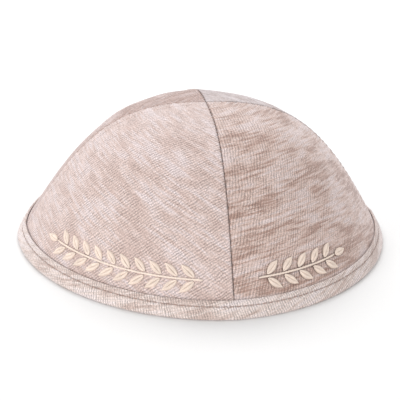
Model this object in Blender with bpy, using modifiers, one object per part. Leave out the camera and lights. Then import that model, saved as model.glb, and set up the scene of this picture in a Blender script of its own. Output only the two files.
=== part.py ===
"""Embroidered kippah: four gores of cloth sewn into a crown, a folded band round the rim,
and a raised leaf ornament over the band at the front.

Metres, +Z up. The origin is the centre of the rim on the surface that the cap rests on.
The front is -Y. Azimuths run from the front towards +X, and the four seams lie at 0, 90,
180 and 270 degrees.
"""
import math

import bmesh
import bpy
import numpy as np

# The cap
RIM_DIAMETER = 0.180        # across the band, from seam to seam
CROWN_HEIGHT = 0.0665       # from the surface it rests on to the meeting of the seams
CROWN_CLOTH = 0.0015        # face cloth with its backing
CLEARANCE = 0.0003          # between neighbouring pieces

# The band, a strip folded round the lower edge of the crown
BAND_CLOTH = 0.0010
BAND_FACE = 0.0065          # straight part of the outer fold, up the slope
BAND_LINING_FACE = 0.0055   # straight part of the inner fold, up the slope
BAND_SLOPE = math.radians(60)
BAND_TOE_RADIUS = 0.0012    # round of the fold outside
BAND_HEEL_RADIUS = 0.0008   # round of the fold inside

# The meridian of the crown over a seam and over the middle of a panel. Shoulder is the level
# stretch at the top as a share of the foot radius, fullness the stretch up the foot's slope as
# a share of the rise, and foot the slope in degrees where the crown enters the band.
MERIDIANS = {
    "seam": {"shoulder": 0.42, "fullness": 0.885, "foot": 60.4},
    "mid_panel": {"shoulder": 0.58, "fullness": 0.68, "foot": 54.5},
}

# Each panel lies between two seams and is flatter than a circle between them, by this share
# of its radius at its middle. Colour is the cloth's.
PANELS = {
    "panel_front_right": {"from_seam": 0, "flatness": 0.026, "colour": (0.565, 0.413, 0.356)},
    "panel_back_right": {"from_seam": 1, "flatness": 0.045, "colour": (0.604, 0.491, 0.448)},
    "panel_back_left": {"from_seam": 2, "flatness": 0.031, "colour": (0.479, 0.371, 0.319)},
    "panel_front_left": {"from_seam": 3, "flatness": 0.016, "colour": (0.680, 0.546, 0.497)},
}
PANEL_COLUMNS = 16
CROWN_ROWS = 12
SKIRT_ROWS = 1

# The leaf ornament, a stem with pairs of leaves along it and a leaf at its end. A sprig's start
# and end are shares of the quarter turn from the front seam, and side is where it grows to.
LEAF_LENGTH = 0.0078
LEAF_WIDTH = 0.0034
LEAF_RAISE = 0.0010         # height of the padded middle
LEAF_EDGE = 0.0004          # height of the stitched edge
LEAF_ANGLE = math.radians(40)
LEAF_SPACING = 0.0010       # bare stem between the last pair and the leaf at its end
STEM_DIAMETER = 0.0011
ORNAMENT_RISE = 0.0030      # bare cloth between the band and the lowest leaf
SPRIGS = {
    "left": {"side": -1, "start": 0.10, "end": 0.77, "pairs": 10},
    "right": {"side": 1, "start": 0.09, "end": 0.50, "pairs": 5},
}
LEAF_SIDES = 8
LEAF_RINGS = 6
STEM_STEP = 0.0028          # between the points of a stem

COLOURS = {
    "band": (0.597, 0.474, 0.440),
    "thread": (0.831, 0.730, 0.604),
}
CLOTH_ROUGHNESS = 0.9
THREAD_ROUGHNESS = 0.55

RIM_RADIUS = RIM_DIAMETER / 2
SLOPE_UP = np.array([-math.cos(BAND_SLOPE), math.sin(BAND_SLOPE)])
SLOPE_OUT = np.array([math.sin(BAND_SLOPE), math.cos(BAND_SLOPE)])
TOE_CENTRE = np.array([RIM_RADIUS - BAND_TOE_RADIUS, BAND_TOE_RADIUS])
TOE_TOP = TOE_CENTRE + BAND_TOE_RADIUS * SLOPE_OUT
BAND_TOP = TOE_TOP + BAND_FACE * SLOPE_UP
CROWN_INSET = BAND_CLOTH + CLEARANCE
BAND_DEPTH = 2 * CROWN_INSET + CROWN_CLOTH
CROWN_FOOT = BAND_TOP - CROWN_INSET * SLOPE_OUT


def add_material(piece, colour, roughness):
    material = bpy.data.materials.new(piece.name)
    material.use_nodes = True
    shader = material.node_tree.nodes["Principled BSDF"]
    shader.inputs["Base Color"].default_value = (*colour, 1)
    shader.inputs["Roughness"].default_value = roughness
    shader.inputs["Metallic"].default_value = 0
    piece.data.materials.append(material)


def add_piece(name, data, collection, colour, roughness):
    piece = bpy.data.objects.new(name, data)
    collection.objects.link(piece)
    add_material(piece, colour, roughness)
    return piece


def off_seam(azimuth):
    """0 on a seam, rising to 1 in the middle of a panel."""
    return np.abs(np.sin(2 * azimuth))


def squared(azimuth):
    """The share of the round radius that is left at an azimuth, panel by panel."""
    quarter = np.floor(np.mod(azimuth, 2 * math.pi) / (math.pi / 2)).astype(int) % 4
    flatness = np.zeros(4)
    for row in PANELS.values():
        flatness[row["from_seam"]] = row["flatness"]
    return 1 - flatness[quarter] * off_seam(azimuth)


def meridian(azimuth, share):
    """Radius and height on the outer face of the crown. The share runs from 0 at the top to 1
    at the band's edge along a cubic Bezier, blended between the seam's and the mid panel's."""
    top = np.array([0, CROWN_HEIGHT])
    rise = CROWN_HEIGHT - CROWN_FOOT[1]
    curves = []
    for row in MERIDIANS.values():
        shoulder = np.array([row["shoulder"] * CROWN_FOOT[0], CROWN_HEIGHT])
        slope = np.array([-1 / math.tan(math.radians(row["foot"])), 1])
        knee = CROWN_FOOT + row["fullness"] * rise * slope
        t = np.asarray(share)[..., None]
        curves.append((1 - t) ** 3 * top + 3 * (1 - t) ** 2 * t * shoulder
                      + 3 * (1 - t) * t ** 2 * knee + t ** 3 * CROWN_FOOT)
    seam, middle = curves
    return seam + (middle - seam) * off_seam(azimuth)[..., None]


def turned(azimuth, section):
    """Points of a section, radius and height, carried round to an azimuth."""
    radius = section[..., 0] * squared(azimuth)
    return np.stack([radius * np.sin(azimuth), -radius * np.cos(azimuth), section[..., 1]], -1)


def crown_point(azimuth, rise, lift):
    """Points over the crown: rise is the way up the meridian from the band's edge, and lift
    is the height over the cloth along its normal."""
    shares = np.linspace(1, 0, 101)
    azimuth, rise, lift = np.broadcast_arrays(azimuth, rise, lift)

    def surface(angle, way):
        line = turned(angle[:, None] + 0 * shares, meridian(angle[:, None] + 0 * shares,
                                                          shares + 0 * angle[:, None]))
        steps = np.linalg.norm(np.diff(line, axis=1), axis=2)
        length = np.concatenate([np.zeros((len(angle), 1)), np.cumsum(steps, axis=1)], axis=1)
        return np.array([[np.interp(w, run, path[:, axis]) for axis in range(3)]
                         for w, run, path in zip(way, length, line)])

    point = surface(azimuth, rise)
    nudge = 1e-3
    along = surface(azimuth + nudge, rise) - point
    up = surface(azimuth, rise + nudge) - point
    normal = np.cross(along, up)
    normal /= np.linalg.norm(normal, axis=1)[:, None]
    return point + lift[:, None] * normal


def move_verts(bm, points):
    for vert, point in zip(bm.verts, points):
        vert.co = point


def mesh_from(bm, name):
    mesh = bpy.data.meshes.new(name)
    bm.to_mesh(mesh)
    bm.free()
    mesh.shade_smooth()
    return mesh


def apply_modifiers(piece):
    """The piece's shape with its modifiers, as its own mesh."""
    bpy.context.view_layer.update()
    shaped = piece.evaluated_get(bpy.context.evaluated_depsgraph_get())
    mesh = bpy.data.meshes.new_from_object(shaped)
    piece.modifiers.clear()
    piece.data = mesh
    mesh.shade_smooth()
    mesh.set_sharp_from_angle(angle=math.radians(50))


def make_panel(name, row, collection):
    """A gore: a grid whose columns run from one seam to the next and whose rows run from the
    top to the hidden edge inside the band, thickened inwards."""
    rows = CROWN_ROWS + SKIRT_ROWS
    bm = bmesh.new()
    bmesh.ops.create_grid(bm, x_segments=PANEL_COLUMNS, y_segments=rows, size=1)
    plan = np.array([vert.co for vert in bm.verts])
    azimuth = (row["from_seam"] + (plan[:, 0] + 1) / 2) * math.pi / 2
    step = (1 - plan[:, 1]) / 2 * rows
    section = meridian(azimuth, np.minimum(step / CROWN_ROWS, 1))

    # The edge's inner corner stays clear of the bottom of the band's fold.
    edge_height = BAND_CLOTH + CLEARANCE + CROWN_CLOTH * SLOPE_OUT[1]
    skirt = (CROWN_FOOT[1] - edge_height) / SLOPE_UP[1]
    section -= (np.maximum(step - CROWN_ROWS, 0) / SKIRT_ROWS * skirt)[:, None] * SLOPE_UP
    move_verts(bm, turned(azimuth, section))
    bmesh.ops.remove_doubles(bm, verts=bm.verts, dist=1e-6)
    panel = add_piece(name, mesh_from(bm, name), collection, row["colour"], CLOTH_ROUGHNESS)

    solidify = panel.modifiers.new("cloth", "SOLIDIFY")
    solidify.thickness = CROWN_CLOTH
    solidify.offset = -1
    solidify.use_even_offset = True
    apply_modifiers(panel)
    trim_to_seams(panel.data, row["from_seam"])


def trim_to_seams(mesh, quarter):
    """Keeps a gore on its own side of the two planes through its seams, half a clearance off."""
    middle = (quarter + 0.5) * math.pi / 2
    side = np.sign([math.sin(middle), -math.cos(middle)])
    for vert in mesh.vertices:
        for axis in range(2):
            off = max(vert.co[axis] * side[axis], CLEARANCE / 2)
            vert.co[axis] = off * side[axis]


def arc(centre, radius, start, end, steps):
    angles = np.radians(np.linspace(start, end, steps + 1))
    return [centre + radius * np.array([math.cos(a), math.sin(a)]) for a in angles]


def band_section():
    """The fold as a closed outline, down its outer side first. Angles of the rounds are from
    the outward level direction."""
    out_angle = 90 - math.degrees(BAND_SLOPE)
    inner_face = TOE_TOP @ SLOPE_OUT - BAND_DEPTH
    heel_run = BAND_HEEL_RADIUS * (1 - SLOPE_OUT[1])
    heel_centre = np.array([(inner_face + heel_run) / SLOPE_OUT[0], BAND_HEEL_RADIUS])
    heel_top = heel_centre - BAND_HEEL_RADIUS * SLOPE_OUT
    lining_top = heel_top + BAND_LINING_FACE * SLOPE_UP
    half = BAND_CLOTH / 2

    slot = [np.array([(face - BAND_CLOTH * SLOPE_OUT[1]) / SLOPE_OUT[0], BAND_CLOTH])
            for face in (inner_face + BAND_CLOTH, inner_face + BAND_DEPTH - BAND_CLOTH)]

    outline = arc(BAND_TOP - half * SLOPE_OUT, half, out_angle + 180, out_angle, 3)
    outline += arc(TOE_CENTRE, BAND_TOE_RADIUS, out_angle, -90, 4)
    outline += arc(heel_centre, BAND_HEEL_RADIUS, -90, out_angle - 180, 2)
    outline += arc(lining_top + half * SLOPE_OUT, half, out_angle + 180, out_angle, 3)
    return np.array(outline + slot)


def make_band(collection):
    """The fold's outline turned round the rim, then squared off as the crown is."""
    outline = band_section()
    bm = bmesh.new()
    verts = [bm.verts.new((radius, 0, height)) for radius, height in outline]
    for first, second in zip(verts, verts[1:] + verts[:1]):
        bm.edges.new((first, second))
    band = add_piece("rim_band", mesh_from(bm, "rim_band"), collection, COLOURS["band"],
                     CLOTH_ROUGHNESS)
    screw = band.modifiers.new("turn", "SCREW")
    screw.angle = 2 * math.pi
    screw.steps = 4 * PANEL_COLUMNS
    screw.render_steps = screw.steps
    screw.use_merge_vertices = True
    screw.merge_threshold = 1e-5
    apply_modifiers(band)
    for vert in band.data.vertices:
        azimuth = math.atan2(vert.co.x, -vert.co.y)
        vert.co.xy = vert.co.xy * float(squared(np.array(azimuth)))


def leaf_half_width(along):
    """Half the width of a leaf at -1 to 1 along it: full in the middle, pointed at both ends."""
    return LEAF_WIDTH / 2 * (1 - along ** 2)


def leaf_lateral(side):
    """How far one edge of a slanted leaf lies from its base, square to the stem."""
    along = np.linspace(-1, 1, 41)
    return ((along + 1) / 2 * LEAF_LENGTH * math.sin(LEAF_ANGLE)
            + side * leaf_half_width(along) * math.cos(LEAF_ANGLE))


def stem_line(row, rise):
    """Azimuths along a sprig, at equal distances of STEM_STEP, and the whole distance."""
    ends = row["side"] * np.array([row["start"], row["end"]]) * math.pi / 2
    azimuth = np.linspace(*ends, 400)
    points = crown_point(azimuth, rise, 0)
    way = np.concatenate([[0], np.cumsum(np.linalg.norm(np.diff(points, axis=0), axis=1))])
    return azimuth, way


def make_leaf(name, collection, place):
    """A padded leaf: a sphere drawn out to a pointed lens, flat below and domed above, laid on
    the crown. place holds the azimuth and rise of its middle, the radius there, its turn, and
    the side of the front seam that it grows towards."""
    bm = bmesh.new()
    bmesh.ops.create_uvsphere(bm, u_segments=LEAF_SIDES, v_segments=LEAF_RINGS, radius=1)
    ball = np.array([vert.co for vert in bm.verts])
    along, across, up = ball[:, 2], ball[:, 0], ball[:, 1]
    girth = np.sqrt(np.maximum(1 - along ** 2, 0))
    level = -1e-6
    lift = CLEARANCE + np.where(up > level, LEAF_EDGE + (LEAF_RAISE - LEAF_EDGE) * girth * up, 0)
    run = along * LEAF_LENGTH / 2
    width = across * girth * LEAF_WIDTH / 2
    turn = place["turn"]
    sideways = run * math.cos(turn) - width * math.sin(turn)
    upwards = run * math.sin(turn) + width * math.cos(turn)
    points = crown_point(place["azimuth"] + place["side"] * sideways / place["radius"],
                         place["rise"] + upwards, lift)
    move_verts(bm, points)
    if place["side"] < 0:
        bmesh.ops.reverse_faces(bm, faces=bm.faces)
    add_piece(name, mesh_from(bm, name), collection, COLOURS["thread"], THREAD_ROUGHNESS)


def make_stem(name, collection, azimuth, rise):
    count = len(azimuth)
    points = crown_point(azimuth, np.full(count, rise), CLEARANCE + STEM_DIAMETER / 2)
    curve = bpy.data.curves.new(name, "CURVE")
    curve.dimensions = "3D"
    curve.bevel_depth = STEM_DIAMETER / 2
    curve.bevel_resolution = 1
    curve.use_fill_caps = True
    spline = curve.splines.new("POLY")
    spline.points.add(count - 1)
    for bead, point in zip(spline.points, points):
        bead.co = (*point, 1)
    add_piece(name, curve, collection, COLOURS["thread"], THREAD_ROUGHNESS)


def make_sprig(name, row, collection):
    """A stem beside the band with its pairs of leaves spread evenly over its stretch of the
    panel, and a leaf at its end."""
    base_offset = STEM_DIAMETER / 2 + CLEARANCE - min(0, leaf_lateral(-1).min())
    reach = base_offset + leaf_lateral(1).max()
    rise = ORNAMENT_RISE + reach
    spread = LEAF_LENGTH * math.cos(LEAF_ANGLE)
    tail = spread + LEAF_SPACING

    azimuth, way = stem_line(row, rise)
    stem_end = way[-1] - CLEARANCE - LEAF_LENGTH
    pitch = (stem_end - tail) / (row["pairs"] - 1 / 2)
    stem_points = 2 + int(stem_end / STEM_STEP)
    stem_way = np.linspace(0, stem_end, stem_points)
    make_stem(f"embroidered_stem_{name}", collection, np.interp(stem_way, way, azimuth), rise)

    slant = LEAF_ANGLE
    places = []
    for pair in range(row["pairs"]):
        base = pitch / 2 + pair * pitch
        middle = base + spread / 2
        for up in (1, -1):
            off = base_offset + LEAF_LENGTH / 2 * math.sin(slant)
            places.append((middle, up * off, up * slant))
    places.append((stem_end + CLEARANCE + LEAF_LENGTH / 2, 0, 0))

    for number, (along, off, turn) in enumerate(places, 1):
        centre = np.interp(along, way, azimuth)
        point = crown_point(np.array([centre]), rise + off, 0)[0]
        place = {"azimuth": centre, "rise": rise + off, "radius": math.hypot(point[0], point[1]),
                 "turn": turn, "side": row["side"]}
        make_leaf(f"embroidered_leaf_{name}_{number:02d}", collection, place)


def main():
    for thing in list(bpy.data.objects):
        bpy.data.objects.remove(thing)
    collection = bpy.data.collections.new("embroidered_kippah")
    bpy.context.scene.collection.children.link(collection)
    for name, row in PANELS.items():
        make_panel(name, row, collection)
    make_band(collection)
    for name, row in SPRIGS.items():
        make_sprig(name, row, collection)


main()
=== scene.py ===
"""Embroidered kippah: four gores of heathered rib knit, a folded band of the same knit round the
rim, and a leaf ornament in satin stitch over the band at the front.

Metres, +Z up, the front at -Y. Azimuths run from the front towards +X, and the four seams lie
at 0, 90, 180 and 270 degrees. "Rise" is the way up the crown from the band's edge, and "lift"
is the height over the cloth.
"""
import math

import bmesh
import bpy
import numpy as np
from bpy.props import FloatProperty, FloatVectorProperty, IntProperty, PointerProperty
from mathutils import Matrix, Vector


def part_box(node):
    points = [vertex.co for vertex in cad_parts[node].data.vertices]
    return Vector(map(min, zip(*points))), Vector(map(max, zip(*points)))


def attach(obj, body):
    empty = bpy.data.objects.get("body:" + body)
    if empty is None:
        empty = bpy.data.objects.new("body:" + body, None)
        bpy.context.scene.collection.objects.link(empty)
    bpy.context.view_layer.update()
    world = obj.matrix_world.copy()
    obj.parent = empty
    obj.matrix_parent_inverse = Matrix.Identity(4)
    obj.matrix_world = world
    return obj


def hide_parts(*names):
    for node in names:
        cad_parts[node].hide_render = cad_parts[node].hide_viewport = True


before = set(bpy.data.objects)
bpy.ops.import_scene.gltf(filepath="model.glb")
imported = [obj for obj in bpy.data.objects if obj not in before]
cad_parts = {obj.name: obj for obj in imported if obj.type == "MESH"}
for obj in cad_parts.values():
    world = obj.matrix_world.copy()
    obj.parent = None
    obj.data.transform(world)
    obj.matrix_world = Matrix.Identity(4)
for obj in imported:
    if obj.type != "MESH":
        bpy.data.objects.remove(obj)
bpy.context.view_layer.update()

bl_info = {
    "name": "Embroidered Kippah",
    "version": (1, 0, 0),
    "blender": (4, 5, 0),
    "location": "3D View > Sidebar > Kippah",
    "description": "Knitted gores, a folded band and satin stitch leaves round a packed kippah",
    "category": "Add Mesh",
}

MM = 0.001
QUARTER = math.pi / 2

# The cap's own sizes. The two that the frame shows are read from it.
RIM_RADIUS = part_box("rim_band")[1].x
CROWN_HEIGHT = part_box("panel_front_left")[1].z
CROWN_CLOTH = 1.5 * MM
CLEARANCE = 0.3 * MM
BAND_CLOTH = 1.0 * MM
BAND_FACE = 6.5 * MM            # straight part of the outer fold, up the slope
BAND_LINING_FACE = 5.5 * MM     # straight part of the inner fold
BAND_SLOPE = math.radians(60)
BAND_TOE_RADIUS = 1.2 * MM
BAND_HEEL_RADIUS = 0.8 * MM

# The meridian over a seam and over the middle of a gore, as shares, and its slope at the foot
MERIDIANS = {
    "seam": {"shoulder": 0.42, "fullness": 0.885, "foot": 60.4},
    "mid_panel": {"shoulder": 0.58, "fullness": 0.68, "foot": 54.5},
}

# Each gore starts at a seam, counted round from the front, and is flatter than a circle by a
# share. Lean is its ribs' angle in degrees from its middle line, and skew its courses' from the
# square across the ribs. Slubs is how much of its streaks the brown yarn takes, and bloom how
# much of the gaps between them the pale fibre.
GORES = {
    "panel_front_right": {"seam": 0, "flatness": 0.026, "slot": "cloth_front_right",
                          "lean": 36, "skew": 33, "slubs": 0.62, "bloom": 0.45},
    "panel_back_right": {"seam": 1, "flatness": 0.045, "slot": "cloth_back_right",
                         "lean": 35, "skew": 26, "slubs": 0.30, "bloom": 0.55},
    "panel_back_left": {"seam": 2, "flatness": 0.031, "slot": "cloth_back_left",
                        "lean": 35, "skew": 26, "slubs": 0.60, "bloom": 0.25},
    "panel_front_left": {"seam": 3, "flatness": 0.016, "slot": "cloth_front_left",
                         "lean": 40, "skew": 20, "slubs": 0.24, "bloom": 0.50},
}
FAN = 0.7       # how far the stretched knit fans out, as a share of what a flat pattern would
# The band's lean is its ribs' angle in degrees from the square across it.
BAND_KNIT = {"lean": -16, "skew": 0, "slubs": 0.40, "bloom": 0.45}

# The leaf ornament. A sprig starts and ends at shares of the quarter turn from the front seam.
LEAF_LENGTH = 7.8 * MM
LEAF_WIDTH = 3.4 * MM
LEAF_RAISE = 1.0 * MM
LEAF_ANGLE = math.radians(40)
LEAF_SPACING = 1.0 * MM
STEM_DIAMETER = 1.1 * MM
ORNAMENT_RISE = 3.0 * MM
SPRIGS = {
    "left": {"side": -1, "start": 0.10, "end": 0.77, "pairs": 10},
    "right": {"side": 1, "start": 0.09, "end": 0.50, "pairs": 5},
}

SLOPE_UP = np.array([-math.cos(BAND_SLOPE), math.sin(BAND_SLOPE)])
SLOPE_OUT = np.array([math.sin(BAND_SLOPE), math.cos(BAND_SLOPE)])
TOE_CENTRE = np.array([RIM_RADIUS - BAND_TOE_RADIUS, BAND_TOE_RADIUS])
TOE_TOP = TOE_CENTRE + BAND_TOE_RADIUS * SLOPE_OUT
BAND_TOP = TOE_TOP + BAND_FACE * SLOPE_UP
CROWN_INSET = BAND_CLOTH + CLEARANCE
BAND_DEPTH = 2 * CROWN_INSET + CROWN_CLOTH
CROWN_FOOT = BAND_TOP - CROWN_INSET * SLOPE_OUT
SKIRT_EDGE = BAND_CLOTH + CLEARANCE + CROWN_CLOTH * SLOPE_OUT[1]
SKIRT = (CROWN_FOOT[1] - SKIRT_EDGE) / SLOPE_UP[1]


def linear(code):
    """An sRGB hex colour as linear red, green and blue."""
    parts = [int(code[i:i + 2], 16) / 255 for i in (1, 3, 5)]
    return tuple(c / 12.92 if c <= 0.04045 else ((c + 0.055) / 1.055) ** 2.4 for c in parts)


def length(label, text, millimetres):
    return FloatProperty(name=label, description=text, default=millimetres * MM, min=0,
                         unit="LENGTH", precision=5)


def colour(label, text, code):
    return FloatVectorProperty(name=label, description=text, default=linear(code), size=3,
                               subtype="COLOR", min=0, max=1)


class KippahCloth(bpy.types.PropertyGroup):
    """The knit of the gores and how it lies."""
    columns: IntProperty(name="Columns", description="Grid steps across a gore", default=264)
    rows: IntProperty(name="Rows", description="Grid steps from the top to the hidden edge",
                      default=272)
    seam_depth: length("Seam depth", "How far the cloth sinks at a seam", 0.30)
    seam_width: length("Seam width", "Half the width of that furrow", 0.38)
    allowance: length("Seam allowance", "Width of the turned-in edge under the cloth", 4.2)
    allowance_rise: length("Allowance rise", "How far that edge lifts the cloth", 0.20)
    pucker_pitch: length("Pucker pitch", "From one pucker to the next along a seam", 3.1)
    pucker_rise: length("Pucker rise", "Height of the puckers beside a seam", 0.13)
    wave_rise: length("Wave rise", "Height of the slack waves in a gore", 0.35)
    press_depth: length("Press depth", "How far the embroidery pulls the cloth in", 0.40)
    press_width: length("Press width", "How far beside a leaf the pull reaches", 0.75)
    edge_roll: length("Edge roll", "How far the cloth rises against the band's edge", 0.45)
    wale_pitch: length("Wale pitch", "From rib to rib of the knit", 1.25)
    course_pitch: length("Course pitch", "From loop to loop along a rib", 0.95)


class KippahBand(bpy.types.PropertyGroup):
    """The band and its top stitching."""
    groove_drop: length("Groove drop", "From the band's top edge down to its stitching", 2.2)
    groove_depth: length("Groove depth", "How far the stitching pulls the band in", 0.28)
    groove_width: length("Groove width", "Half the width of that groove", 0.32)
    lip_rise: length("Lip rise", "Fullness of the lip above the stitching", 0.16)
    belly_rise: length("Belly rise", "Fullness of the band below the stitching", 0.28)
    stitch_pitch: length("Stitch pitch", "From one top stitch to the next", 2.9)
    stitch_length: length("Stitch length", "Thread that shows of one top stitch", 2.0)
    stitch_thickness: length("Stitch thickness", "Diameter of the sewing thread", 0.36)
    wale_pitch: length("Wale pitch", "From rib to rib of the knit", 1.10)


class KippahEmbroidery(bpy.types.PropertyGroup):
    """The satin stitch."""
    thread_pitch: length("Thread pitch", "From one satin stitch to the next", 0.44)
    thread_thickness: length("Thread thickness", "Diameter of the embroidery thread", 0.50)
    stem_stitch: length("Stem stitch", "Length of one stitch of a stem", 3.4)
    stem_pitch: length("Stem pitch", "From one stitch of a stem to the next", 1.5)


class KippahColours(bpy.types.PropertyGroup):
    """Yarns and threads."""
    # The four gores are cut from one cloth. Their yarns differ in brightness partly by the way the
    # nap lies and partly as painted light and shade. The back left is the darkest, darkened where
    # the strong top light falls on it.
    front_left: colour("Front left", "Yarn of the front left gore", "#dfc9c2")
    front_right: colour("Front right", "Yarn of the front right gore", "#dbc2b8")
    back_right: colour("Back right", "Yarn of the back right gore", "#cdbfbd")
    back_left: colour("Back left", "Yarn of the back left gore", "#bda096")
    band: colour("Band", "Yarn of the band", "#eadad3")
    slub: colour("Slub", "Thicker brown yarn that streaks the knit", "#9c7565")
    bloom: colour("Bloom", "Pale lilac fibre that clouds the knit", "#ece1e4")
    embroidery: colour("Embroidery", "Cream embroidery thread", "#f0ded0")
    # The seam and top stitch threads are real. Their colour, darker than the cloth, is painted
    # shade standing for the shade in the seam furrows and at the stitch holes.
    sewing: colour("Sewing", "Thread of the seams and the top stitch", "#a98d82")


def off_seam(azimuth):
    """0 on a seam and 1 in the middle of a gore: the size of the sine of twice the azimuth."""
    return np.abs(np.sin(2 * azimuth))


def squared(azimuth):
    """The share of the round radius left at an azimuth: one, less the gore's flatness times
    how far off its seams the azimuth is."""
    quarter = np.floor(np.mod(azimuth, 4 * QUARTER) / QUARTER).astype(int) % 4
    flatness = np.zeros(4)
    for row in GORES.values():
        flatness[row["seam"]] = row["flatness"]
    return 1 - flatness[quarter] * off_seam(azimuth)


def meridian(azimuth, share):
    """Radius and height on the crown's face, from 0 at the top to 1 at the band's edge: a cubic
    Bezier of the top, a level shoulder, a knee on the foot's slope and the foot. The seam's
    curve is blended into the middle's by off_seam."""
    top = np.array([0, CROWN_HEIGHT])
    rise = CROWN_HEIGHT - CROWN_FOOT[1]
    t = np.asarray(share)[..., None]
    curves = []
    for row in MERIDIANS.values():
        shoulder = np.array([row["shoulder"] * CROWN_FOOT[0], CROWN_HEIGHT])
        slope = np.array([-1 / math.tan(math.radians(row["foot"])), 1])
        knee = CROWN_FOOT + row["fullness"] * rise * slope
        curves.append((1 - t) ** 3 * top + 3 * (1 - t) ** 2 * t * shoulder
                      + 3 * (1 - t) * t ** 2 * knee + t ** 3 * CROWN_FOOT)
    seam, middle = curves
    return seam + (middle - seam) * off_seam(azimuth)[..., None]


def turned(azimuth, section):
    """A section's radius and height carried round: x is radius times sine, y minus radius times
    cosine, with the radius squared off as the gores are."""
    radius = section[..., 0] * squared(azimuth)
    return np.stack([radius * np.sin(azimuth), -radius * np.cos(azimuth), section[..., 1]], -1)


def crown(azimuth, share):
    """Points of the crown's face. Past a share of 1 the cloth runs on down the band's slope and
    ends at 2, at its hidden edge."""
    azimuth, share = np.broadcast_arrays(azimuth, share)
    down = np.maximum(share - 1, 0)[..., None] * SKIRT * SLOPE_UP
    return turned(azimuth, meridian(azimuth, np.minimum(share, 1)) - down)


def crown_normal(azimuth, share):
    """The outward normal: the cross product of the way round and the way up, each taken
    between two points a nudge to either side."""
    nudge = 1e-4
    azimuth, share = np.broadcast_arrays(azimuth, np.clip(share, 0.02, 2 - nudge))
    along = crown(azimuth + nudge, share) - crown(azimuth - nudge, share)
    up = crown(azimuth, share - nudge) - crown(azimuth, share + nudge)
    normal = np.cross(along, up)
    return normal / np.linalg.norm(normal, axis=-1, keepdims=True)


def share_at(azimuth, rise):
    """The share at a rise over the band's edge. The way is the sum of chords between the two,
    and each pass moves the share by the way that is over, divided by the way per share."""
    azimuth, rise = np.broadcast_arrays(azimuth, rise)
    chord_count = 24
    steps = np.linspace(0, 1, chord_count + 1)
    share = np.full(rise.shape, 0.85)
    for _ in range(5):
        line = crown(azimuth[..., None], 1 + (share[..., None] - 1) * steps)
        chords = np.linalg.norm(np.diff(line, axis=-2), axis=-1)
        pace = chords[..., -1] * chord_count / (1 - share)
        share = np.clip(share + (chords.sum(-1) - rise) / pace, 0.02, 0.999)
    return share


def over_crown(azimuth, rise, lift):
    """Points over the crown with their normals: the face at a rise, plus lift along the
    normal."""
    azimuth, rise, lift = np.broadcast_arrays(azimuth, rise, lift)
    share = share_at(azimuth, rise)
    normal = crown_normal(azimuth, share)
    return crown(azimuth, share) + lift[..., None] * normal, normal


def over_band(azimuth, drop, lift):
    """Points over the band's outer face: down its slope from the top edge by drop, and out by
    lift, carried round."""
    azimuth, drop, lift = np.broadcast_arrays(azimuth, drop, lift)
    section = BAND_TOP - drop[..., None] * SLOPE_UP + lift[..., None] * SLOPE_OUT
    return turned(azimuth, section)


def smooth_step(low, high, value):
    """0 below low and 1 above high, with the cubic 3t² - 2t³ between."""
    t = np.clip((value - low) / (high - low), 0, 1)
    return t * t * (3 - 2 * t)


def leaf_half_width(along):
    """Half a leaf's width at -1 to 1 along it: the full half, times 1 less along squared."""
    return LEAF_WIDTH / 2 * (1 - along ** 2)


def leaf_reach(side):
    """How far one edge of a slanted leaf lies from its base, square to the stem."""
    along = np.linspace(-1, 1, 41)
    return ((along + 1) / 2 * LEAF_LENGTH * math.sin(LEAF_ANGLE)
            + side * leaf_half_width(along) * math.cos(LEAF_ANGLE))


def sprig_layout(row):
    """Where a sprig lies. The stem keeps one rise and its pairs of leaves stand a pitch apart,
    at plus and minus the leaf angle, with one more leaf at its end. Gives the stem's rise, the
    azimuth and way along it, its length, and each leaf's azimuth, rise, radius and turn."""
    base = STEM_DIAMETER / 2 + CLEARANCE - min(0, leaf_reach(-1).min())
    rise = ORNAMENT_RISE + base + leaf_reach(1).max()
    spread = LEAF_LENGTH * math.cos(LEAF_ANGLE)
    ends = row["side"] * np.array([row["start"], row["end"]]) * QUARTER
    azimuth = np.linspace(*ends, 400)
    way = way_along(over_crown(azimuth, rise, 0)[0])
    stem_end = way[-1] - CLEARANCE - LEAF_LENGTH
    pitch = (stem_end - spread - LEAF_SPACING) / (row["pairs"] - 1 / 2)

    middle = pitch / 2 + np.repeat(np.arange(row["pairs"]), 2) * pitch + spread / 2
    middle = np.append(middle, stem_end + CLEARANCE + LEAF_LENGTH / 2)
    up = np.append(np.tile([1, -1], row["pairs"]), 0)
    leaf_azimuth = np.interp(middle, way, azimuth)
    leaf_rise = rise + up * (base + LEAF_LENGTH / 2 * math.sin(LEAF_ANGLE))
    spot = over_crown(leaf_azimuth, leaf_rise, 0)[0]
    leaves = {"azimuth": leaf_azimuth, "rise": leaf_rise, "turn": up * LEAF_ANGLE,
              "radius": np.hypot(spot[:, 0], spot[:, 1])}
    return {"rise": rise, "azimuth": azimuth, "way": way, "stem_end": stem_end,
            "leaves": leaves, "side": row["side"]}


def way_along(line):
    """How far along a line of points each lies: the running sum of the chords."""
    chords = np.linalg.norm(np.diff(line, axis=0), axis=-1)
    return np.concatenate([np.zeros((1, *chords.shape[1:])), np.cumsum(chords, axis=0)])


def way_round(azimuth):
    """How far round the band's top edge each azimuth lies from the first."""
    return way_along(turned(azimuth, np.broadcast_to(BAND_TOP, (len(azimuth), 2))))


def spaced(count, closeness):
    """Places from 0 to 1, closer together near both ends: the running sum of steps that shrink
    by closeness within a twentieth of either end."""
    middle = (np.arange(count) + 0.5) / count
    step = 1 - closeness * (np.exp(-middle / 0.05) + np.exp(-(1 - middle) / 0.05))
    return np.concatenate([[0], np.cumsum(step)]) / step.sum()


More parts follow.
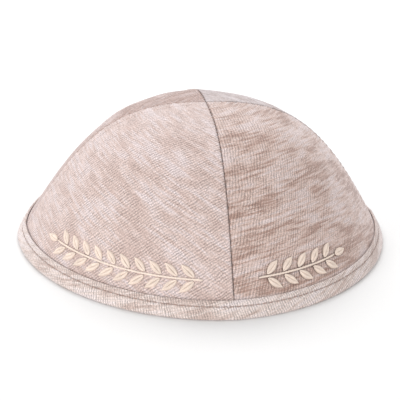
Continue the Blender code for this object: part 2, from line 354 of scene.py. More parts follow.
def lattice(rows, columns):
    """The quads of a grid of points, facing whoever sees its rows run down and its columns
    run right."""
    corner = np.arange(rows * columns).reshape(rows, columns)
    quads = [corner[:-1, :-1], corner[1:, :-1], corner[1:, 1:], corner[:-1, 1:]]
    return np.stack(quads, -1).reshape(-1, 4)


def border(corner):
    """A grid's edge as four runs of corners: the top rightwards, the right side down, the
    bottom leftwards and the left side up."""
    return corner[0], corner[:, -1], corner[-1, ::-1], corner[::-1, 0]


def add_piece(name, points, faces, uv, material, replaced, attributes=()):
    """A mesh object with its pattern coordinates. Points that lie on each other are merged,
    which closes seams and poles."""
    mesh = bpy.data.meshes.new(name)
    mesh.from_pydata(points.reshape(-1, 3), [], faces)
    corner = np.empty(len(mesh.loops), dtype=np.int32)
    mesh.loops.foreach_get("vertex_index", corner)
    layer = mesh.uv_layers.new(name="pattern")
    layer.data.foreach_set("uv", uv.reshape(-1, 2)[corner].astype(np.float32).ravel())
    for label, values in dict(attributes).items():
        field = mesh.attributes.new(label, "FLOAT", "POINT")
        field.data.foreach_set("value", values.astype(np.float32).ravel())
    bm = bmesh.new()
    bm.from_mesh(mesh)
    bmesh.ops.remove_doubles(bm, verts=bm.verts, dist=1e-6)
    bm.to_mesh(mesh)
    bm.free()
    mesh.shade_smooth()
    mesh.materials.append(material)
    piece = bpy.data.objects.new(name, mesh)
    bpy.context.scene.collection.objects.link(piece)
    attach(piece, "root")
    if replaced:
        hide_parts(*replaced)
    return piece


def thread_arrays(paths, up, thickness, sides=6):
    """Threads laid along paths, each a tube with closed ends. Round a path's point stands a
    ring: the centre, plus the radius times cosine of the angle to the side and sine upwards.
    The radius shrinks to 0.55 at both ends, as the thread goes down into the cloth."""
    count, steps = paths.shape[:2]
    tangent = np.gradient(paths, axis=1)
    tangent /= np.linalg.norm(tangent, axis=-1, keepdims=True)
    side = np.cross(tangent, up)
    side /= np.linalg.norm(side, axis=-1, keepdims=True)
    above = np.cross(side, tangent)
    angle = np.linspace(0, 2 * math.pi, sides + 1)
    taper = 1 - 0.45 * np.abs(np.linspace(-1, 1, steps)) ** 6
    radius = thickness / 2 * taper[None, :, None, None]
    ring = (np.cos(angle)[:, None] * side[:, :, None] + np.sin(angle)[:, None] * above[:, :, None])
    points = paths[:, :, None] + radius * ring

    run = way_along(np.swapaxes(paths, 0, 1)).T
    turn = np.broadcast_to(np.linspace(0, 1, sides + 1), (count, steps, sides + 1))
    uv = np.stack([turn, np.broadcast_to(run[..., None] / MM, turn.shape)], -1)

    first = (np.arange(count) * steps * (sides + 1))[:, None, None]
    quads = (first + lattice(steps, sides + 1)[None]).reshape(-1, 4)
    ring_corners = np.arange(sides)
    start = first[:, 0] + ring_corners
    end = first[:, 0] + (steps - 1) * (sides + 1) + ring_corners[::-1]
    return points, quads.tolist() + start.tolist() + end.tolist(), uv


def add_node(tree, kind, *inputs, sockets=None, **settings):
    """A shader node of a kind, with its properties set. Inputs fill its sockets in their order,
    and a dictionary fills them by name. A node given as an input is linked from its first
    output."""
    node = tree.nodes.new(f"ShaderNode{kind}")
    for name, value in settings.items():
        setattr(node, name, value)
    shown = [socket for socket in node.inputs if socket.enabled]
    named = {socket.name: socket for socket in reversed(shown)}
    pairs = list(zip(shown, inputs))
    pairs += [(named[name], value) for name, value in (sockets or {}).items()]
    for socket, value in pairs:
        if isinstance(value, bpy.types.Node):
            value = next(out for out in value.outputs if out.enabled)
        if isinstance(value, bpy.types.NodeSocket):
            tree.links.new(value, socket)
        elif value is not None:
            socket.default_value = value
    return node


def new_material(name):
    """An empty material, its node tree and its output's surface socket."""
    material = bpy.data.materials.new(name)
    material.use_nodes = True
    tree = material.node_tree
    tree.nodes.clear()
    return material, tree, tree.nodes.new("ShaderNodeOutputMaterial").inputs["Surface"]


def heathered_rib_knit(name, yarn, wale_pitch, row):
    """Viscose and cotton jersey, rib knitted from heathered yarn with brown slubs and brushed a
    little. Its ribs are the fine lines, its slubs the soft streaks along the skewed courses,
    and its loose fibre gives the pale bloom where the cloth turns away. Its colour carries
    painted shade, darker in the grooves of the ribs and loops and in the creases of the seams,
    the embroidery and the band."""
    settings = bpy.context.scene
    colours, cloth = settings.kippah_colours, settings.kippah_cloth
    material, tree, surface = new_material(name)

    place = add_node(tree, "UVMap", uv_map="pattern")
    split = add_node(tree, "SeparateXYZ", place)
    across, along = split.outputs[0], split.outputs[1]

    # Ribs: the pattern runs in millimetres. A slow wander and a short one keep them from being
    # ruled, and wear fades them in patches.
    wander = add_node(tree, "TexNoise", place, 0.10, 2, noise_dimensions="2D")
    across_rib = add_node(tree, "Math", wander, 1.5, across, operation="MULTIPLY_ADD")
    wobble = add_node(tree, "TexNoise", place, 0.55, 2, noise_dimensions="2D")
    across_rib = add_node(tree, "Math", wobble, 1.1, across_rib, operation="MULTIPLY_ADD")
    half_rib = wale_pitch / MM / 2
    from_groove = add_node(tree, "Math", across_rib, half_rib, operation="PINGPONG")
    from_groove = add_node(tree, "Math", from_groove, half_rib, operation="DIVIDE")
    rib = add_node(tree, "Math", from_groove, 0.6, operation="POWER")

    # Loops: each course is a row of slanting legs that meet in the middle of a rib.
    course = add_node(tree, "Math", along, MM / cloth.course_pitch, operation="MULTIPLY")
    slant = add_node(tree, "Math", from_groove, 0.55, course, operation="MULTIPLY_ADD")
    loop = add_node(tree, "Math", slant, 0.5, operation="PINGPONG")
    knit = add_node(tree, "Math", loop, 0.9, 0.55, operation="MULTIPLY_ADD")
    knit = add_node(tree, "Math", knit, rib, operation="MULTIPLY")
    wear = add_node(tree, "TexNoise", place, 0.22, 2, noise_dimensions="2D")
    wear = add_node(tree, "MapRange", wear, 0.36, 0.60, 0.45, 1)
    knit = add_node(tree, "Mix", wear, 0.6, knit, data_type="FLOAT")

    # Streaks: 13 mm along a course and 1.3 mm high, and denser in clouds of 28 by 12 mm.
    def streaks(run, height, detail):
        skewed = add_node(tree, "Mapping", place, (0, 0, 0), (0, 0, math.radians(row["skew"])),
                          (run, height, 1), vector_type="TEXTURE")
        return add_node(tree, "TexNoise", skewed, 1.0, detail, 0.6, noise_dimensions="2D")

    density = add_node(tree, "Mix", 0.40, streaks(13.0, 1.3, 3),
                       streaks(28.0, 12.0, 1), data_type="FLOAT")
    brown = add_node(tree, "MapRange", density, 0.48, 0.63, 0, row["slubs"],
                     interpolation_type="SMOOTHSTEP")
    pale = add_node(tree, "MapRange", density, 0.52, 0.37, 0, row["bloom"],
                    interpolation_type="SMOOTHSTEP")
    fleck = add_node(tree, "TexNoise", place, 1.3, 2, noise_dimensions="2D")
    fleck = add_node(tree, "MapRange", fleck, 0.3, 0.7, 0.80, 1.14)

    shade = add_node(tree, "Mix", brown, (*yarn, 1), (*colours.slub, 1),
                     data_type="RGBA")
    shade = add_node(tree, "Mix", pale, shade, (*colours.bloom, 1), data_type="RGBA")
    # Painted shade: the colour darkens where shade falls, in the grooves between the ribs and
    # between the loops. The flecks are the yarn's own random tone.
    depth = add_node(tree, "MapRange", knit, 0.1, 0.9, 0.48, 1.08)
    depth = add_node(tree, "Math", depth, fleck, operation="MULTIPLY")
    # Painted shade: the colour is darkened where shade falls. This is in the seam furrows at each
    # pucker, beside the embroidery, against the band's edge and in the band's stitched groove.
    painted_crease_shade = add_node(tree, "Attribute", attribute_name="painted_crease_shade").outputs["Fac"]
    painted_crease_shade = add_node(tree, "MapRange", painted_crease_shade, 0, 1, 1, 0.5)
    depth = add_node(tree, "Math", depth, painted_crease_shade, operation="MULTIPLY")
    shade = add_node(tree, "VectorMath", shade, depth, operation="MULTIPLY")

    relief = add_node(tree, "Bump", sockets={
        "Strength": 0.7, "Distance": 0.35 * MM, "Height": knit})
    shader = add_node(tree, "BsdfPrincipled", sockets={
        "Base Color": shade, "Roughness": 0.92, "IOR": 1.46, "Normal": relief,
        "Sheen Weight": 0.50, "Sheen Roughness": 0.42,
        "Sheen Tint": (1.0, 0.95, 0.97, 1)})
    tree.links.new(shader.outputs[0], surface)
    return material


def twisted_thread(name, shade, roughness, sheen):
    """Two-ply twisted thread, rayon where it is glossy and cotton where it is not. The twist
    runs round it, and its gloss shows a line along each stitch."""
    material, tree, surface = new_material(name)
    place = add_node(tree, "UVMap", uv_map="pattern")
    split = add_node(tree, "SeparateXYZ", place)
    # One turn of the twist takes 1.1 mm, drawn about twice as long as it is so that it shows.
    climb = add_node(tree, "Math", split.outputs[1], 0.9, split.outputs[0],
                     operation="MULTIPLY_ADD")
    ply = add_node(tree, "Math", climb, 0.25, operation="PINGPONG")
    ply = add_node(tree, "Math", ply, 4, operation="MULTIPLY")
    here = add_node(tree, "TexCoord").outputs["Object"]
    patch = add_node(tree, "TexNoise", here, 420, 2)
    tone = add_node(tree, "MapRange", patch, 0.3, 0.7, 0.90, 1.06)
    # Painted shade: the colour darkens in the grooves between the plies.
    twist = add_node(tree, "MapRange", ply, 0, 1, 0.82, 1.04)
    tone = add_node(tree, "Math", tone, twist, operation="MULTIPLY")
    tinted = add_node(tree, "VectorMath", shade, tone, operation="MULTIPLY")
    relief = add_node(tree, "Bump", sockets={
        "Strength": 0.4, "Distance": 0.08 * MM, "Height": ply})
    shader = add_node(tree, "BsdfPrincipled", sockets={
        "Base Color": tinted, "Roughness": roughness, "IOR": 1.5, "Normal": relief,
        "Sheen Weight": sheen, "Sheen Roughness": 0.3})
    tree.links.new(shader.outputs[0], surface)
    return material


def matt_paper(name, code):
    """A seamless sheet of matt white paper, which shows nothing but soft shadows."""
    material, tree, surface = new_material(name)
    here = add_node(tree, "TexCoord").outputs["Object"]
    grain = add_node(tree, "TexNoise", here, 900, 2)
    tone = add_node(tree, "MapRange", grain, 0.3, 0.7, 0.99, 1.0)
    shade = add_node(tree, "VectorMath", linear(code), tone, operation="MULTIPLY")
    shader = add_node(tree, "BsdfPrincipled", sockets={
        "Base Color": shade, "Roughness": 0.95, "IOR": 1.45})
    tree.links.new(shader.outputs[0], surface)
    return material


def from_embroidery(azimuth, rise):
    """How far a point of the cloth is from the nearest leaf or stem, below 0 inside it: the gap
    beside a leaf's edge or past its tip, and beside a stem. Nothing is further than a metre."""
    nearest = np.full(azimuth.shape, 1.0)
    for row in SPRIGS.values():
        layout = sprig_layout(row)
        leaves = layout["leaves"]
        for centre, height, turn, radius in zip(leaves["azimuth"], leaves["rise"],
                                                leaves["turn"], leaves["radius"]):
            sideways = row["side"] * (azimuth - centre) * radius
            upwards = rise - height
            run = sideways * math.cos(turn) + upwards * math.sin(turn)
            width = upwards * math.cos(turn) - sideways * math.sin(turn)
            share = run / (LEAF_LENGTH / 2)
            beside = np.abs(width) - leaf_half_width(np.clip(share, -1, 1))
            beyond = np.hypot(np.maximum(np.abs(run) - LEAF_LENGTH / 2, 0), np.maximum(beside, 0))
            nearest = np.minimum(nearest, np.where(np.abs(share) < 1, beside, beyond))
        way = np.interp(row["side"] * azimuth, row["side"] * layout["azimuth"], layout["way"],
                        left=-1, right=1)
        past = np.maximum(np.maximum(-way, way - layout["stem_end"]), 0)
        nearest = np.minimum(nearest, np.hypot(np.abs(rise - layout["rise"]), past)
                             - STEM_DIAMETER / 2)
    return nearest


def gore_relief(row, across, azimuth, face, from_top, rise, share):
    """How far a gore's cloth stands off the crown's face, and its painted shade from 0 to 1, which
    darkens the colour in the seam furrows, beside the embroidery and against the band's edge: a
    furrow at each seam, exp of minus the distance over its width to the power 1.6, slighter at
    the side seams; a step over the seam allowance of the first seam; puckers, a cosine along
    the seam that fades away from it; slack waves, a sum of sines; the embroidery's pull, a bell
    curve; and a roll against the band's edge, x times exp of 1 - x."""
    cloth = bpy.context.scene.kippah_cloth
    radius = np.hypot(face[..., 0], face[..., 1])
    first = radius * across * QUARTER
    second = radius * (1 - across) * QUARTER
    seam = np.maximum(np.minimum(first, second), 0)
    shown = 1 - smooth_step(0.97, 1.0, share)
    clear_top = smooth_step(2 * MM, 9 * MM, radius)

    side_seam = (first < second) == (row["seam"] % 2 == 1)
    furrow = np.exp(-(seam / cloth.seam_width) ** 1.6) * np.where(side_seam, 0.45, 1)
    relief = -cloth.seam_depth * furrow
    step = 1 - smooth_step(0.86 * cloth.allowance, 1.12 * cloth.allowance, first)
    relief = relief + cloth.allowance_rise * step * clear_top * (1 - furrow)
    phase = 2 * math.pi * from_top / cloth.pucker_pitch
    pucker = np.cos(phase + 0.8 * np.sin(phase / 5.3 + row["seam"]))
    relief = relief + cloth.pucker_rise * pucker * np.exp(-seam / (2.4 * MM)) * clear_top

    turn = (across - 0.5) * QUARTER
    sideways, upwards = from_top * np.sin(turn), from_top * np.cos(turn)
    waves = (np.sin(sideways / 0.0071 + 0.6 * row["seam"]) * np.sin(upwards / 0.0093 + 1.1)
             + 0.6 * np.sin((sideways + upwards) / 0.0056 + 2.0 * row["seam"])
             + 0.4 * np.sin((sideways - 0.7 * upwards) / 0.0039 + 0.7))
    slack = smooth_step(3 * MM, 16 * MM, seam) * smooth_step(17 * MM, 34 * MM, rise)
    relief = relief + cloth.wave_rise / 2 * waves * slack

    beside = np.maximum(from_embroidery(np.broadcast_to(azimuth, rise.shape), rise), 0)
    press = np.exp(-(beside / cloth.press_width) ** 2)
    relief = relief - cloth.press_depth * press
    off_band = np.maximum(rise, 0) / (0.8 * MM)
    relief = relief + cloth.edge_roll * off_band * np.exp(1 - off_band)
    # Painted shade, 0 to 1: darker in the seam furrows at each pucker, in a thin line beside the
    # embroidery and against the band's edge.
    painted_crease_shade = (0.85 * furrow * (0.55 + 0.45 * pucker) + 0.6 * np.exp(-(beside / (0.5 * MM)) ** 2)
              + 0.25 * np.exp(-off_band))
    return relief * shown, np.clip(painted_crease_shade, 0, 1)


class KIPPAH_OT_gores(bpy.types.Operator):
    """Knit the four gores of the crown"""
    bl_idname = "kippah.gores"
    bl_label = "Gores"

    def execute(self, context):
        cloth, colours = context.scene.kippah_cloth, context.scene.kippah_colours
        for name, row in GORES.items():
            place = name.removeprefix("panel_")
            material = heathered_rib_knit(f"heathered_rib_knit_{place}", getattr(colours, place),
                                          cloth.wale_pitch, row)
            self.make_gore(name, row, cloth, material)
        return {"FINISHED"}

    def make_gore(self, name, row, cloth, material):
        """A shell between two grids of the crown, azimuth by share. The face carries the
        relief, the inside is a wall's thickness under the smooth crown on every fourth line,
        and many-sided faces join their edges. Half a clearance parts it from its neighbours.
        Pattern coordinates are the gore laid flat about its top, turned by the rib's lean."""
        coarse = 4
        skirt_rows = 12
        across = spaced(cloth.columns, 0.62)[None, :]
        share = np.concatenate([np.linspace(0, 1, cloth.rows - skirt_rows + 1),
                                1 + np.linspace(0, 1, skirt_rows + 1)[1:]])[:, None]
        azimuth = (row["seam"] + across) * QUARTER
        face = crown(azimuth, share)
        normal = crown_normal(azimuth, share)
        from_top = way_along(face)
        rise = from_top[cloth.rows - skirt_rows] - from_top

        relief, painted_crease_shade = gore_relief(row, across, azimuth, face, from_top, rise, share)
        seams = [np.array([math.sin(a), -math.cos(a), 0]) for a in
                 (row["seam"] * QUARTER, (row["seam"] + 1) * QUARTER)]
        part = CLEARANCE / 2 * (across[..., None] * seams[0] + (1 - across[..., None]) * seams[1])
        outside = face + relief[..., None] * normal + part
        inside = (face - CROWN_CLOTH * normal + part)[::coarse, ::coarse]

        turn = (across - 0.5) * QUARTER * np.hypot(face[..., 0], face[..., 1])
        turn = FAN * turn / np.maximum(from_top, MM)
        sideways, upwards = from_top * np.sin(turn) / FAN, -from_top * np.cos(turn)
        lean = math.radians(row["lean"])
        uv = np.stack([sideways * math.cos(lean) - upwards * math.sin(lean),
                       sideways * math.sin(lean) + upwards * math.cos(lean)], -1) / MM

        grid = outside.shape[:2]
        inner_grid = inside.shape[:2]
        outer_count = grid[0] * grid[1]
        faces = lattice(*grid).tolist()
        faces += (outer_count + lattice(*inner_grid)[:, ::-1]).tolist()
        outer_edge = border(np.arange(outer_count).reshape(grid))
        inner_edge = border(outer_count + np.arange(inner_grid[0] * inner_grid[1])
                            .reshape(inner_grid))
        for outer, inner in zip(outer_edge, inner_edge):
            fine = np.stack([outer[i:-1:coarse] for i in range(coarse)]
                            + [outer[coarse::coarse]], -1)
            wall = np.concatenate([fine, inner[1:, None], inner[:-1, None]], axis=1)
            faces += wall.tolist()

        points = np.concatenate([outside.reshape(-1, 3), inside.reshape(-1, 3)])
        uv = np.concatenate([uv.reshape(-1, 2), uv[::coarse, ::coarse].reshape(-1, 2)])
        painted_crease_shade = np.append(painted_crease_shade, np.zeros(inner_grid))
        add_piece(f"knit_{name}", points, faces, uv, material, [name],
                  {"painted_crease_shade": painted_crease_shade})


def band_outline():
    """The band's cross section as a closed line of points, with their outward directions and
    their way along it from the top of the outer slope: the round top edge, down the slope,
    round the toe, level, round the heel and up the lining to its round edge, then back along
    the inner side of the cloth."""
    edge_steps = 4      # of the round top edge, before the slope starts
    half = BAND_CLOTH / 2
    inner_face = TOE_TOP @ SLOPE_OUT - BAND_DEPTH
    heel_run = BAND_HEEL_RADIUS * (1 - SLOPE_OUT[1])
    heel = np.array([(inner_face + heel_run) / SLOPE_OUT[0], BAND_HEEL_RADIUS])
    heel_top = heel - BAND_HEEL_RADIUS * SLOPE_OUT
    out_angle = math.pi / 2 - BAND_SLOPE

    def straight(start, end, out, count):
        t = np.linspace(0, 1, count + 1)[:-1, None]
        return start + (end - start) * t, np.broadcast_to(out, (count, 2))

    def round_off(centre, radius, start, end, count):
        angle = np.linspace(start, end, count + 1)[:-1]
        out = np.stack([np.cos(angle), np.sin(angle)], -1)
        return centre + radius * out, out

    toe_bottom = TOE_CENTRE - [0, BAND_TOE_RADIUS]
    heel_bottom = heel - [0, BAND_HEEL_RADIUS]
    lining_top = heel_top + BAND_LINING_FACE * SLOPE_UP
    slot_out = TOE_TOP @ SLOPE_OUT - BAND_CLOTH
    slot = [np.array([(side - BAND_CLOTH * SLOPE_OUT[1]) / SLOPE_OUT[0], BAND_CLOTH])
            for side in (inner_face + BAND_CLOTH, slot_out)]
    lining_inside = lining_top + BAND_CLOTH * SLOPE_OUT
    top_inside = BAND_TOP - BAND_CLOTH * SLOPE_OUT
    parts = [
        round_off(BAND_TOP - half * SLOPE_OUT, half, out_angle + math.pi / 2, out_angle,
                  edge_steps),
        straight(BAND_TOP, TOE_TOP, SLOPE_OUT, 34),
        round_off(TOE_CENTRE, BAND_TOE_RADIUS, out_angle, -math.pi / 2, 10),
        straight(toe_bottom, heel_bottom, [0, -1], 3),
        round_off(heel, BAND_HEEL_RADIUS, -math.pi / 2, out_angle - math.pi, 6),
        straight(heel_top, lining_top, -SLOPE_OUT, 16),
        round_off(lining_top + half * SLOPE_OUT, half, out_angle + math.pi, out_angle, 8),
        straight(lining_inside, slot[0], SLOPE_OUT, 2),
        straight(slot[0], slot[1], [0, 1], 1),
        straight(slot[1], top_inside, -SLOPE_OUT, 2),
        round_off(BAND_TOP - half * SLOPE_OUT, half, out_angle + math.pi,
                  out_angle + math.pi / 2, edge_steps),
    ]
    points = np.concatenate([p for p, _ in parts])
    outward = np.concatenate([o for _, o in parts])
    points, outward = (np.concatenate([a, a[:1]]) for a in (points, outward))
    down = way_along(points)
    return points, outward, down - down[edge_steps]


class KIPPAH_OT_band(bpy.types.Operator):
    """Fold the knitted band round the rim"""
    bl_idname = "kippah.band"
    bl_label = "Band"

    def execute(self, context):
        """The fold's outline, down by azimuth from the back. The relief outside is a full lip above
        the stitching, half a sine; a groove at the stitching, a bell curve; a belly below it,
        half a sine; and puckers at each stitch."""
        band, colours = context.scene.kippah_band, context.scene.kippah_colours
        outline, outward, down = band_outline()
        columns = 960
        azimuth = np.linspace(-2 * QUARTER, 2 * QUARTER, columns + 1)[None, :]
        way = way_round(azimuth[0])
        stitches = round(way[-1] / band.stitch_pitch)
        # Whole numbers of waves in a turn, so that the band's ends meet at the back
        turn = 2 * math.pi * (way - way[columns // 2])[None, :] / way[-1]
        phase = stitches * turn

        down = down[:, None]
        groove = band.groove_drop
        belly_end = BAND_FACE + 0.9 * BAND_TOE_RADIUS
        pucker_rise = 0.07 * MM
        lip = np.sin(math.pi * np.clip(down / groove, 0, 1))
        belly = np.sin(math.pi * np.clip((down - groove) / (belly_end - groove), 0, 1)) ** 0.8
        pull = np.exp(-((down - groove) / band.groove_width) ** 2)
        pucker = np.cos(phase) * np.exp(-np.abs(down - groove) / (1.1 * MM))
        sway = 0.6 + 0.4 * np.sin(17 * turn + 0.4) * np.sin(31 * turn)
        relief = (band.lip_rise * lip + band.belly_rise * belly * sway
                  - band.groove_depth * pull * (0.85 - 0.15 * np.cos(phase)))
        outside = (down > 0) & (down < belly_end)
        relief = relief + np.where(outside, pucker_rise * pucker * (1 - pull), 0)
        relief = np.where(outside, relief, 0) * np.ones_like(azimuth)

        section = outline[:, None] + relief[..., None] * outward[:, None]
        points = turned(np.broadcast_to(azimuth, relief.shape), section)
        lean = math.radians(BAND_KNIT["lean"])
        run, drop = np.broadcast_arrays(way[None, :] / MM, down / MM)
        uv = np.stack([run * math.cos(lean) + drop * math.sin(lean),
                       drop * math.cos(lean) - run * math.sin(lean)], -1)
        # Painted shade: darker in the stitched groove at each stitch and along the band's top edge.
        painted_crease_shade = np.where(outside, pull * (0.50 + 0.30 * np.cos(phase))
                          + 0.15 * np.exp(-down / (0.35 * MM)), 0)
        material = heathered_rib_knit("heathered_rib_knit_band", colours.band,
                                      band.wale_pitch, BAND_KNIT)
        add_piece("knit_rim_band", points, lattice(*relief.shape).tolist(), uv, material,
                  ["rim_band"], {"painted_crease_shade": painted_crease_shade})
        return {"FINISHED"}


class KIPPAH_OT_seam_stitches(bpy.types.Operator):
    """Sew the four seams"""
    bl_idname = "kippah.seam_stitches"
    bl_label = "Seam stitches"

    def execute(self, context):
        """Short threads across each furrow, a pucker pitch apart from the band to near the
        top."""
        cloth, colours = context.scene.kippah_cloth, context.scene.kippah_colours
        top_gap = 3 * MM
        thickness = 0.34 * MM
        half_stitch = 0.55 * MM
        slope = 0.25 * MM       # from a stitch's middle to its end, down the seam
        share = np.linspace(0.01, 1, 600)
        paths, ups = [], []
        for seam in range(4):
            way = way_along(crown(seam * QUARTER, share))[1:]
            spots = np.arange(top_gap, way[-1] - MM, cloth.pucker_pitch)
            at = np.interp(spots, way, share[1:])[:, None]
            spread = np.linspace(-1, 1, 7)[None, :]
            middle = crown(seam * QUARTER, at)
            radius = np.hypot(middle[..., 0], middle[..., 1])
            azimuth = seam * QUARTER + spread * half_stitch / radius
            lift = -cloth.seam_depth * (0.55 + 0.5 * spread ** 4)
            normal = crown_normal(azimuth, at)
            slant = slope * spread / way[-1]
            paths.append(crown(azimuth, at + slant) + lift[..., None] * normal)
            ups.append(normal)
        # The thread's darker colour is painted shade of the furrow.
        material = twisted_thread("spun_polyester_sewing_thread", colours.sewing, 0.7, 0.1)
        points, faces, uv = thread_arrays(np.concatenate(paths), np.concatenate(ups), thickness)
        add_piece("seam_stitches", points, faces, uv, material, [])
        return {"FINISHED"}


class KIPPAH_OT_top_stitch(bpy.types.Operator):
    """Stitch the band down"""
    bl_idname = "kippah.top_stitch"
    bl_label = "Top stitch"

    def execute(self, context):
        """Equal stitches round the band in its groove. Each is a low arch that starts and ends
        under the cloth."""
        band, colours = context.scene.kippah_band, context.scene.kippah_colours
        azimuth = np.linspace(0, 4 * QUARTER, 1441)     # every quarter degree
        way = way_round(azimuth)
        count = round(way[-1] / band.stitch_pitch)
        spread = np.linspace(-1, 1, 9)[None, :]
        middle = (np.arange(count)[:, None] + 0.5) * way[-1] / count
        at = np.interp(middle + spread * band.stitch_length / 2, way, azimuth)
        sink = band.groove_depth
        lift = -0.45 * sink - 0.75 * sink * spread ** 4
        paths = over_band(at, np.full(at.shape, band.groove_drop), lift)
        out = np.stack([np.sin(at) * SLOPE_OUT[0], -np.cos(at) * SLOPE_OUT[0],
                        np.full(at.shape, SLOPE_OUT[1])], -1)
        # The thread's darker colour is painted shade of the groove's stitch holes.
        material = twisted_thread("spun_polyester_top_thread", colours.sewing, 0.7, 0.1)
        points, faces, uv = thread_arrays(paths, out, band.stitch_thickness)
        add_piece("band_top_stitch", points, faces, uv, material, [])
        return {"FINISHED"}


class KIPPAH_OT_stems(bpy.types.Operator):
    """Embroider the two stems"""
    bl_idname = "kippah.stems"
    bl_label = "Stems"

    def execute(self, context):
        """Stem stitch: equal stitches that each start below the last one's middle and end above
        it, so that they lie like the strands of a rope."""
        sewing, colours = context.scene.kippah_embroidery, context.scene.kippah_colours
        material = twisted_thread("rayon_stem_thread", colours.embroidery, 0.42, 0.25)
        thickness = 0.62 * STEM_DIAMETER
        for name, row in SPRIGS.items():
            layout = sprig_layout(row)
            count = round((layout["stem_end"] - sewing.stem_stitch) / sewing.stem_pitch) + 1
            middle = np.linspace(sewing.stem_stitch / 2,
                                 layout["stem_end"] - sewing.stem_stitch / 2, count)[:, None]
            spread = np.linspace(-1, 1, 9)[None, :]
            way = middle + spread * sewing.stem_stitch / 2
            azimuth = np.interp(way, layout["way"], layout["azimuth"])
            rise = layout["rise"] + 0.20 * STEM_DIAMETER * spread
            lift = 0.42 * STEM_DIAMETER - 0.34 * STEM_DIAMETER * spread ** 4
            paths, up = over_crown(azimuth, rise, np.broadcast_to(lift, rise.shape))
            points, faces, uv = thread_arrays(paths, up, thickness, 8)
            add_piece(f"stem_stitch_{name}", points, faces, uv, material,
                      [f"embroidered_stem_{name}"])
        return {"FINISHED"}


def satin_chart(sewing):
    """One leaf's stitches on a flat chart: run along it, width across it and lift. A stitch
    starts on the midrib and ends on the edge a little nearer the tip. Its lift is the leaf's
    raise times the root of 1 less the run squared, times a sine that is highest between the
    midrib and the edge."""
    count = int(LEAF_LENGTH / sewing.thread_pitch)
    root = np.linspace(-0.95, 0.86, count)[None, :, None]
    side = np.array([-1, 1])[:, None, None]
    out = np.linspace(0, 1, 8)[None, None, :]
    reach = np.minimum(0.26, 0.985 - root)
    along = root + reach * out
    width = side * out * leaf_half_width(root + reach)
    dome = np.sqrt(1 - np.clip(along, -1, 1) ** 2)
    arch = np.sin(math.pi * (0.12 + 0.88 * out)) ** 0.7
    lift = (0.25 + 0.75 * dome) * LEAF_RAISE * arch * 0.85 - 0.25 * MM * out ** 4
    return [np.broadcast_to(a, (2, count, 8)).reshape(-1, 8)
            for a in (along * LEAF_LENGTH / 2, width, lift)]


class KIPPAH_OT_leaves(bpy.types.Operator):
    """Embroider the leaves in satin stitch"""
    bl_idname = "kippah.leaves"
    bl_label = "Leaves"

    def execute(self, context):
        """Every stitch of the chart, turned and laid on the crown at each leaf's place. Azimuth
        is the leaf's own, plus the chart's way sideways over the radius there."""
        sewing, colours = context.scene.kippah_embroidery, context.scene.kippah_colours
        material = twisted_thread("rayon_satin_stitch_thread", colours.embroidery, 0.40, 0.3)
        run, width, lift = satin_chart(sewing)
        for name, row in SPRIGS.items():
            leaves = sprig_layout(row)["leaves"]
            turn, centre, height, radius = (leaves[key][:, None, None] for key in
                                            ("turn", "azimuth", "rise", "radius"))
            sideways = run * np.cos(turn) - width * np.sin(turn)
            upwards = run * np.sin(turn) + width * np.cos(turn)
            paths, up = over_crown(centre + row["side"] * sideways / radius, height + upwards,
                                   np.broadcast_to(lift, sideways.shape))
            steps = paths.shape[2]
            points, faces, uv = thread_arrays(paths.reshape(-1, steps, 3),
                                              up.reshape(-1, steps, 3), sewing.thread_thickness)
            numbers = range(1, len(leaves["azimuth"]) + 1)
            add_piece(f"satin_leaves_{name}", points, faces, uv, material,
                      [f"embroidered_leaf_{name}_{number:02d}" for number in numbers])
        return {"FINISHED"}


class KippahStage(bpy.types.PropertyGroup):
    """The light tent and the camera."""
    tent: FloatProperty(name="Tent light", description="Strength of the even white light",
                        default=0.80, min=0)
    top: FloatProperty(name="Top light", description="Power of the light over the cap's back",
                       default=6.8, min=0)
    left: FloatProperty(name="Left light", description="Power of the light at the left",
                        default=4.4, min=0)
    right: FloatProperty(name="Right light", description="Power of the light at the right",
                         default=1.2, min=0)
    distance: FloatProperty(name="Camera distance", description="From the camera to the cap",
                            default=0.5, unit="LENGTH")
    lens: FloatProperty(name="Lens", description="Focal length in millimetres", default=91.8)
    elevation: FloatProperty(name="Elevation", description="Camera's angle above the floor",
                             default=math.radians(23.5), subtype="ANGLE")
    azimuth: FloatProperty(name="Azimuth", description="Camera's turn to the left of the front",
                           default=math.radians(9.73), subtype="ANGLE")
    roll: FloatProperty(name="Roll", description="Camera's roll", subtype="ANGLE",
                        default=math.radians(1.9))


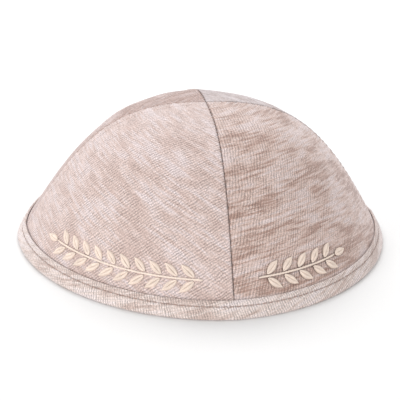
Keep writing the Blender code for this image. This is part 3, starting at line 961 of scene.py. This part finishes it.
class KIPPAH_OT_stage(bpy.types.Operator):
    """Lay the paper, hang the lights and set the camera"""
    bl_idname = "kippah.stage"
    bl_label = "Stage"

    def execute(self, context):
        stage = context.scene.kippah_stage
        self.lay_paper()
        world = bpy.data.worlds.new("light_tent")
        world.use_nodes = True
        background = world.node_tree.nodes["Background"]
        background.inputs["Color"].default_value = (1, 1, 1, 1)
        background.inputs["Strength"].default_value = stage.tent
        context.scene.world = world
        self.hang_light("top_light", stage.top, (0, 0.68, 0.76), (0.90, 0.34))
        self.hang_light("left_light", stage.left, (-0.74, -0.66, 0.20), (0.36, 0.36))
        self.hang_light("right_light", stage.right, (0.60, -0.78, 0.20), (0.36, 0.36))
        self.set_camera(context.scene, stage)
        context.scene.view_settings.view_transform = "Standard"
        return {"FINISHED"}

    def lay_paper(self):
        """A flat square of paper, a grid of two points by two."""
        half = 3.0
        corner = np.array([-half, half])
        x, y = np.meshgrid(corner, corner[::-1])
        points = np.stack([x, y, np.zeros_like(x)], -1).reshape(-1, 3)
        mesh = bpy.data.meshes.new("paper")
        mesh.from_pydata(points, [], lattice(2, 2).tolist())
        mesh.materials.append(matt_paper("matt_white_paper", "#e9e9e9"))
        paper = bpy.data.objects.new("paper", mesh)
        bpy.context.scene.collection.objects.link(paper)

    def hang_light(self, name, power, place, size):
        """A soft light, so wide and so high, that faces the cap."""
        light = bpy.data.lights.new(name, "AREA")
        light.energy = power
        light.shape = "RECTANGLE"
        light.size, light.size_y = size
        lamp = bpy.data.objects.new(name, light)
        lamp.location = place
        aim = Vector((0, 0, CROWN_HEIGHT / 2)) - lamp.location
        lamp.rotation_euler = aim.to_track_quat("-Z", "Y").to_euler()
        bpy.context.scene.collection.objects.link(lamp)

    def set_camera(self, scene, stage):
        """The camera looks past the cap's middle, level turned by azimuth, tipped down by the
        elevation and rolled."""
        aside, target_height = -1.3 * MM, 15.9 * MM
        turn = Matrix.Rotation(-stage.azimuth, 3, "Z")
        right = turn @ Vector((1, 0, 0))
        forward = turn @ Vector((0, math.cos(stage.elevation), -math.sin(stage.elevation)))
        up = right.cross(forward)
        target = right * aside + Vector((0, 0, target_height))
        rolled_right = right * math.cos(stage.roll) + up * math.sin(stage.roll)
        rolled_up = up * math.cos(stage.roll) - right * math.sin(stage.roll)
        data = bpy.data.cameras.new("camera")
        data.lens = stage.lens
        camera = bpy.data.objects.new("camera", data)
        axes = Matrix((rolled_right, rolled_up, -forward)).transposed()
        camera.matrix_world = Matrix.Translation(target - forward * stage.distance) @ axes.to_4x4()
        scene.collection.objects.link(camera)
        scene.camera = camera


OPERATORS = (KIPPAH_OT_stage, KIPPAH_OT_gores, KIPPAH_OT_band, KIPPAH_OT_seam_stitches,
             KIPPAH_OT_top_stitch, KIPPAH_OT_stems, KIPPAH_OT_leaves)
SETTINGS = {"kippah_cloth": KippahCloth, "kippah_band": KippahBand,
            "kippah_embroidery": KippahEmbroidery, "kippah_colours": KippahColours,
            "kippah_stage": KippahStage}


class KIPPAH_PT_parts(bpy.types.Panel):
    """The kippah's pieces and their sizes"""
    bl_idname = "KIPPAH_PT_parts"
    bl_label = "Embroidered Kippah"
    bl_space_type = "VIEW_3D"
    bl_region_type = "UI"
    bl_category = "Kippah"

    def draw(self, context):
        for operator in OPERATORS:
            self.layout.operator(operator.bl_idname)
        for name, group in SETTINGS.items():
            box = self.layout.box()
            for label in group.__annotations__:
                box.prop(getattr(context.scene, name), label)


def register():
    for group in (*SETTINGS.values(), *OPERATORS, KIPPAH_PT_parts):
        bpy.utils.register_class(group)
    for name, group in SETTINGS.items():
        setattr(bpy.types.Scene, name, PointerProperty(type=group))


def unregister():
    for name in SETTINGS:
        delattr(bpy.types.Scene, name)
    for group in (KIPPAH_PT_parts, *OPERATORS, *SETTINGS.values()):
        bpy.utils.unregister_class(group)


def main():
    register()
    bpy.ops.kippah.stage()
    bpy.ops.kippah.gores()
    bpy.ops.kippah.band()
    bpy.ops.kippah.seam_stitches()
    bpy.ops.kippah.top_stitch()
    bpy.ops.kippah.stems()
    bpy.ops.kippah.leaves()


if __name__ == "__main__":
    main()
